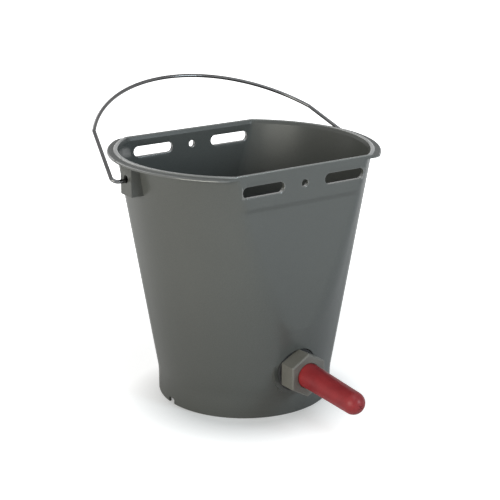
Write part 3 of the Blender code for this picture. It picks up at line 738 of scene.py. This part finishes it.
RUBBER_DEEP_RED = (0.300, 0.028, 0.034)
RUBBER_RED = (0.380, 0.038, 0.044)
red_rubber, tree, shader, place = finish_nodes("red_teat_rubber")
bloom = grain(tree, place, 70.0, 5.0)
fine = grain(tree, place, 900.0, 3.0)
ground = tint(tree, bloom, RUBBER_DEEP_RED, RUBBER_RED)
speckle = tint(tree, fine, grey(0.92), grey(1.06))
tree.links.new(blend_colours(tree, ground, speckle, 1.0, 'MULTIPLY'), shader.inputs["Base Color"])
tree.links.new(between(tree, bloom, 0.31, 0.40), shader.inputs["Roughness"])
gloss(tree, shader, 0.28, 0.02)
shader.inputs["Subsurface Weight"].default_value = 0.08
shader.inputs["Subsurface Radius"].default_value = (0.004, 0.001, 0.001)
shader.inputs["Subsurface Scale"].default_value = 0.5
relief(tree, shader, [(grain(tree, place, 120.0, 3.0), 0.0002, 0.25),
                      (grain(tree, place, 1500.0, 3.0), 0.00006, 0.5)])
dress(teat, red_rubber)
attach(teat, "bucket_body")
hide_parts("teat")

# Hexagon nut: warm grey plastic, a corner straight up, its front edges chamfered;
# it screws on the spigot and clamps the teat and the outer gasket.
NUT_CHAMFER = 0.0013
NUT_EASE = 0.00035
NUT_BORE = 0.0150
NUT_BORE_EASE = 0.0004
NUT_MOUTH = TEAT_BASE + 0.0003
NUT_MOUTH_EASE = 0.0005
BORE_OVERRUN = 0.010
corner_radius = 0.5 * (nut_high.z - nut_low.z)
bm = bmesh.new()
back = []
front = []
for i in range(6):
    a = math.radians(90.0 + 60.0 * i)
    x, z = corner_radius * math.cos(a), VALVE_Z + corner_radius * math.sin(a)
    back.append(bm.verts.new((x, nut_high.y, z)))
    front.append(bm.verts.new((x, nut_low.y, z)))
bm.faces.new(back)
bm.faces.new(list(reversed(front)))
for i in range(6):
    j = (i + 1) % 6
    bm.faces.new([back[j], back[i], front[i], front[j]])
bmesh.ops.recalc_face_normals(bm, faces=bm.faces)
edges = [e for e in bm.edges if all(v.co.y < NUT_FACE + TOUCH for v in e.verts)]
bmesh.ops.bevel(bm, geom=edges, offset=NUT_CHAMFER, segments=1, affect='EDGES')
bmesh.ops.bevel(bm, geom=list(bm.edges), offset=NUT_EASE, segments=3, affect='EDGES',
                profile=0.5, clamp_overlap=True)
nut = piece_from(bm, "hexagon_nut")
back_rim = NUT_BORE + NUT_BORE_EASE
front_rim = NUT_MOUTH + NUT_MOUTH_EASE
bore = [(0.0, nut_high.y + BORE_OVERRUN), (back_rim, nut_high.y + BORE_OVERRUN)]
bore += [(back_rim, nut_high.y), (NUT_BORE, nut_high.y - NUT_BORE_EASE)]
bore += [(NUT_BORE, NUT_FACE + NUT_LIP), (NUT_MOUTH, NUT_FACE + NUT_LIP)]
bore += [(NUT_MOUTH, NUT_FACE + NUT_MOUTH_EASE), (front_rim, NUT_FACE)]
bore += [(front_rim, NUT_FACE - BORE_OVERRUN), (0.0, NUT_FACE - BORE_OVERRUN)]
shape(nut, piece_from(turned(bore, VALVE_Z), "bore"), 'DIFFERENCE')
NUT_GREY_DARK = (0.150, 0.144, 0.128)
NUT_GREY_LIGHT = (0.172, 0.166, 0.149)
nut_finish, tree, shader, place = finish_nodes("warm_grey_nut_plastic")
haze = grain(tree, place, 60.0, 4.0)
fine = grain(tree, place, 1100.0, 2.0)
ground = tint(tree, haze, NUT_GREY_DARK, NUT_GREY_LIGHT)
speckle = tint(tree, fine, grey(0.92), grey(1.06))
tree.links.new(blend_colours(tree, ground, speckle, 1.0, 'MULTIPLY'), shader.inputs["Base Color"])
tree.links.new(between(tree, haze, 0.44, 0.54), shader.inputs["Roughness"])
relief(tree, shader, [(grain(tree, place, 1200.0, 3.0), 0.00005, 0.4)])
dress(nut, nut_finish, angle=30.0)
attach(nut, "bucket_body")
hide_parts("hex_nut")

# Bail: one bright-plated steel wire, bent by hand, with its ends hooked through the
# ears, straight arms, a kink at each shoulder and a round crown; it leans back.
WIRE = 0.0021
LEAN = math.radians(64.0)
PIVOT = Vector((0.0, BUCKET_Y, 0.2526))
CROWN = 0.1565
LEFT_KINK = Vector((-0.1370, 0.0831))
RIGHT_KINK = Vector((0.1349, 0.0748))
LEFT_BEND = -0.1576
RIGHT_BEND = 0.1529
HOOK_END = 0.1355
BEND_RADIUS = 0.0060
KINK_RADIUS = 0.0100
CROWN_STEPS = 36
WIRE_STEPS = 28
# Rounded end of the wire: share of its radius and shift along it in radii
WIRE_END = ((0.0, 0.0), (0.75, 0.0), (0.93, 0.10), (1.0, 0.30))


def bent(path, radii, steps=12):
    """Path with each inner corner bent to its radius."""
    points = [Vector(path[0])]
    for i in range(1, len(path) - 1):
        corner = Vector(path[i])
        to_prev = (Vector(path[i - 1]) - corner).normalized()
        to_next = (Vector(path[i + 1]) - corner).normalized()
        half = 0.5 * to_prev.angle(to_next)
        start = corner + to_prev * (radii[i - 1] / math.tan(half))
        centre = corner + (to_prev + to_next).normalized() * radii[i - 1] / math.sin(half)
        spoke = start - centre
        turn = math.pi - 2.0 * half
        if to_prev.x * to_next.y - to_prev.y * to_next.x > 0.0:
            turn = -turn
        for k in range(steps + 1):
            points.append(centre + Matrix.Rotation(turn * k / steps, 2) @ spoke)
    points.append(Vector(path[-1]))
    return points


half_span = 0.5 * (RIGHT_KINK - LEFT_KINK).length
middle = 0.5 * (LEFT_KINK + RIGHT_KINK)
across = Vector((LEFT_KINK.y - RIGHT_KINK.y, RIGHT_KINK.x - LEFT_KINK.x)).normalized()
crown_centre = middle - across * math.sqrt(CROWN ** 2 - half_span ** 2)
left_angle = math.atan2(LEFT_KINK.y - crown_centre.y, LEFT_KINK.x - crown_centre.x)
right_angle = math.atan2(RIGHT_KINK.y - crown_centre.y, RIGHT_KINK.x - crown_centre.x)
crown = []
for i in range(1, CROWN_STEPS):
    a = left_angle + (right_angle - left_angle) * i / CROWN_STEPS
    crown.append(crown_centre + CROWN * Vector((math.cos(a), math.sin(a))))
wire = bent([(-HOOK_END, 0.0), (LEFT_BEND, 0.0), LEFT_KINK, crown[0]], [BEND_RADIUS, KINK_RADIUS])
wire += crown[1:-1]
wire += bent([crown[-1], RIGHT_KINK, (RIGHT_BEND, 0.0), (HOOK_END, 0.0)],
             [KINK_RADIUS, BEND_RADIUS])
centres = [PIVOT + Vector((p.x, p.y * math.sin(LEAN), p.y * math.cos(LEAN))) for p in wire]
plane_normal = Vector((0.0, math.cos(LEAN), -math.sin(LEAN)))
levels = []
for i, point in enumerate(centres):
    ahead = centres[min(i + 1, len(centres) - 1)] - centres[max(i - 1, 0)]
    ahead.normalize()
    outward = ahead.cross(plane_normal)
    rings = [(1.0, 0.0)]
    if i == 0:
        rings = WIRE_END
    if i == len(centres) - 1:
        rings = [(share, -shift) for share, shift in reversed(WIRE_END)]
    for share, shift in rings:
        middle = point + ahead * shift * WIRE
        if share == 0.0:
            levels.append([tuple(middle)])
            continue
        turn = [2.0 * math.pi * k / WIRE_STEPS for k in range(WIRE_STEPS)]
        levels.append([tuple(middle + WIRE * share * (outward * math.cos(a)
                                                      + plane_normal * math.sin(a)))
                       for a in turn])
bail = piece_from(skin(levels), "bail_wire")
# The plated steel is given a dark colour: painted shade that stands for the dark room its bright
# plating would mirror
STEEL_DARK = (0.095, 0.095, 0.097)
STEEL_LIGHT = (0.130, 0.130, 0.130)
plated, tree, shader, place = finish_nodes("plated_steel_wire", 1.0)
haze = grain(tree, place, 55.0, 4.0)
drawn = grain(tree, place, 420.0, 3.0)
tree.links.new(tint(tree, haze, STEEL_DARK, STEEL_LIGHT), shader.inputs["Base Color"])
tree.links.new(between(tree, haze, 0.10, 0.17), shader.inputs["Roughness"])
relief(tree, shader, [(drawn, 0.00002, 0.15)])
dress(bail, plated, angle=50.0)
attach(bail, "bail_body")
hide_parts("bail")

# Studio: white floor and surround, a broad warm soft box low on the left, a cool one
# in front on the right, and weaker ones high in front, overhead and behind.
def white_where_seen(tree, level):
    """Strength that is only there for rays that look at the surface or mirror it."""
    path = tree.nodes.new("ShaderNodeLightPath")
    seen = tree.nodes.new("ShaderNodeMath")
    seen.operation = 'MAXIMUM'
    tree.links.new(path.outputs["Is Camera Ray"], seen.inputs[0])
    tree.links.new(path.outputs["Is Glossy Ray"], seen.inputs[1])
    clear = tree.nodes.new("ShaderNodeMath")
    clear.operation = 'MAXIMUM'
    tree.links.new(seen.outputs["Value"], clear.inputs[0])
    tree.links.new(path.outputs["Is Transmission Ray"], clear.inputs[1])
    strength = tree.nodes.new("ShaderNodeMath")
    strength.operation = 'MULTIPLY'
    tree.links.new(clear.outputs["Value"], strength.inputs[0])
    if isinstance(level, float):
        strength.inputs[1].default_value = level
    else:
        tree.links.new(level, strength.inputs[1])
    return strength.outputs["Value"]


# The floor's own origin is the middle of the contact shadow, which lies towards the camera. The
# floor's glow is weak there, a painted shadow added to the real one, and rises to the shadow's edge,
# then slowly far away.
FLOOR_RADIUS = 14.0
FLOOR_DROP = 0.0001
SHADOW_X = -0.018
SHADOW_Y = BUCKET_Y - 0.027
SHADOW_IN = 0.074
SHADOW_OUT = 0.132
PAINTED_SHADOW_GLOW = 0.29
FLOOR_GLOW = 0.80
FAR_START = 0.20
FAR_END = 0.9
FAR_GLOW = 0.8
FLOOR_COLOUR = 0.72
SURROUND_LIGHT = 0.05
bm = bmesh.new()
bmesh.ops.create_circle(bm, cap_ends=True, segments=96, radius=FLOOR_RADIUS)
floor = piece_from(bm, "studio_floor")
floor.location = (SHADOW_X, SHADOW_Y, -FLOOR_DROP)
white_floor_painted_shadow = bpy.data.materials.new("white_floor_painted_shadow")
white_floor_painted_shadow.use_nodes = True
tree = white_floor_painted_shadow.node_tree
tree.nodes.clear()
matte = tree.nodes.new("ShaderNodeBsdfDiffuse")
matte.inputs["Color"].default_value = (*grey(FLOOR_COLOUR), 1.0)
spot = tree.nodes.new("ShaderNodeTexCoord")
away = tree.nodes.new("ShaderNodeVectorMath")
away.operation = 'LENGTH'
tree.links.new(spot.outputs["Object"], away.inputs[0])
lift = tree.nodes.new("ShaderNodeMath")
lift.operation = 'ADD'
# Painted shadow: less glow near the foot leaves the floor darker there
glow_in_painted_shadow = between(tree, away.outputs["Value"], PAINTED_SHADOW_GLOW, FLOOR_GLOW, SHADOW_IN, SHADOW_OUT)
far = between(tree, away.outputs["Value"], 0.0, FAR_GLOW, FAR_START, FAR_END)
tree.links.new(glow_in_painted_shadow, lift.inputs[0])
tree.links.new(far, lift.inputs[1])
glow = tree.nodes.new("ShaderNodeEmission")
glow.inputs["Color"].default_value = (1.0, 1.0, 1.0, 1.0)
tree.links.new(white_where_seen(tree, lift.outputs["Value"]), glow.inputs["Strength"])
both = tree.nodes.new("ShaderNodeAddShader")
out = tree.nodes.new("ShaderNodeOutputMaterial")
tree.links.new(matte.outputs["BSDF"], both.inputs[0])
tree.links.new(glow.outputs["Emission"], both.inputs[1])
tree.links.new(both.outputs["Shader"], out.inputs["Surface"])
floor.data.materials.append(white_floor_painted_shadow)

world = bpy.data.worlds.new("white_surround")
bpy.context.scene.world = world
world.use_nodes = True
tree = world.node_tree
tree.nodes.clear()
shown = tree.nodes.new("ShaderNodeBackground")
shown.inputs["Color"].default_value = (1.0, 1.0, 1.0, 1.0)
shown.inputs["Strength"].default_value = 1.0
lit = tree.nodes.new("ShaderNodeBackground")
lit.inputs["Color"].default_value = (1.0, 1.0, 1.0, 1.0)
lit.inputs["Strength"].default_value = SURROUND_LIGHT
pick = tree.nodes.new("ShaderNodeMixShader")
out = tree.nodes.new("ShaderNodeOutputWorld")
tree.links.new(white_where_seen(tree, 1.0), pick.inputs["Fac"])
tree.links.new(lit.outputs["Background"], pick.inputs[1])
tree.links.new(shown.outputs["Background"], pick.inputs[2])
tree.links.new(pick.outputs["Shader"], out.inputs["Surface"])


LAMP_DISTANCE = 2.2
AIM = Vector((0.0, 0.0, 0.15))


def soft_box(name, azimuth, elevation, width, height, watts, colour):
    """Soft box that faces the object; azimuth 0 is in front and -90 on the left."""
    around = math.radians(azimuth)
    rise = math.radians(elevation)
    way = Vector((math.cos(rise) * math.sin(around), -math.cos(rise) * math.cos(around),
                  math.sin(rise)))
    place = AIM + LAMP_DISTANCE * way
    data = bpy.data.lights.new(name, 'AREA')
    data.shape = 'RECTANGLE'
    data.size = width
    data.size_y = height
    data.energy = watts
    data.color = colour
    lamp = bpy.data.objects.new(name, data)
    lamp.location = place
    lamp.rotation_euler = (-way).to_track_quat('-Z', 'Y').to_euler()
    bpy.context.scene.collection.objects.link(lamp)


soft_box("left_soft_box", -72.0, 10.0, 1.4, 1.1, 26.5, (1.0, 0.985, 0.88))
soft_box("right_soft_box", 22.0, 18.0, 0.6, 0.6, 16.2, (0.78, 0.92, 1.0))
soft_box("front_soft_box", -10.0, 60.0, 1.2, 1.2, 6.0, (0.84, 0.95, 1.0))
soft_box("overhead_soft_box", 0.0, 88.0, 1.0, 1.0, 3.8, (0.82, 0.93, 1.0))
soft_box("back_soft_box", 180.0, 35.0, 1.2, 1.2, 6.0, (1.0, 1.0, 1.0))

# Camera solved from the photograph: where it stands, its right and up directions, its lens
STAND = Vector((-0.788283, -1.134110, 0.595424))
RIGHT = Vector((0.82550, -0.56440, 0.0))
UP = Vector((0.16876, 0.24683, 0.95425))
TOWARD = RIGHT.cross(UP)
lens = bpy.data.cameras.new("photo_camera")
lens.sensor_width = 36.0
lens.lens = 98.697
camera = bpy.data.objects.new("photo_camera", lens)
camera.matrix_world = Matrix.Translation(STAND) @ Matrix((RIGHT, UP, TOWARD)).transposed().to_4x4()
bpy.context.scene.collection.objects.link(camera)
bpy.context.scene.camera = camera
bpy.context.scene.view_settings.view_transform = 'Standard'
